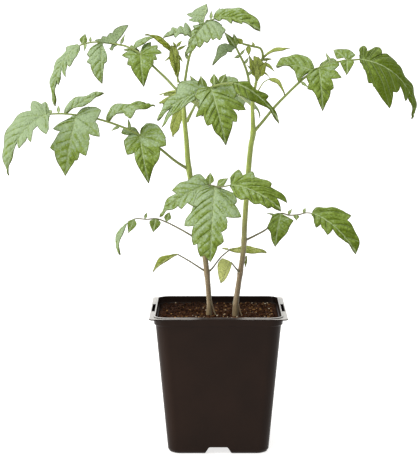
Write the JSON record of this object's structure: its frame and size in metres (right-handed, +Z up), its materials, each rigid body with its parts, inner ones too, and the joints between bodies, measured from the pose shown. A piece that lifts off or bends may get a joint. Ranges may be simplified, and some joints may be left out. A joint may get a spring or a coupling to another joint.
{
  "type": "tomato plant in a pot",
  "caption": "Young tomato plant with toothed compound leaves on two slender stems, standing in the soil of a tapered square nursery pot.",
  "frame": {"origin": "middle of the pot's underside, on the surface that it stands on", "axes": "+Z up, +X to the right and +Y to the back as seen from the side that is shown"},
  "size_m": [0.3528, 0.2232, 0.3852],
  "materials": {
    "pot": "satin",
    "soil": "matte",
    "stem": "satin",
    "leaf": "matte",
    "young_leaf": "matte",
    "cotyledon": "matte"
  },
  "bodies": {
    "root": {"pot": "pot", "soil": "soil", "stem_left": "stem", "stem_right": "stem", "cotyledon_left_a": "cotyledon", "cotyledon_left_b": "cotyledon", "cotyledon_right_a": "cotyledon", "cotyledon_right_b": "cotyledon", "frond_left_low": "leaf", "frond_right_low": "leaf", "frond_front_low": "leaf", "frond_left_mid": "leaf", "frond_front_top": "leaf", "frond_left_top": "leaf", "frond_top": "leaf", "leaf_left_tip": "young_leaf", "frond_right_main": "leaf", "frond_right_upper": "leaf", "leaf_right_tip": "young_leaf", "leaf_right_side": "young_leaf", "frond_back_left": "leaf", "frond_back_right": "leaf"}
  },
  "joints": []
}
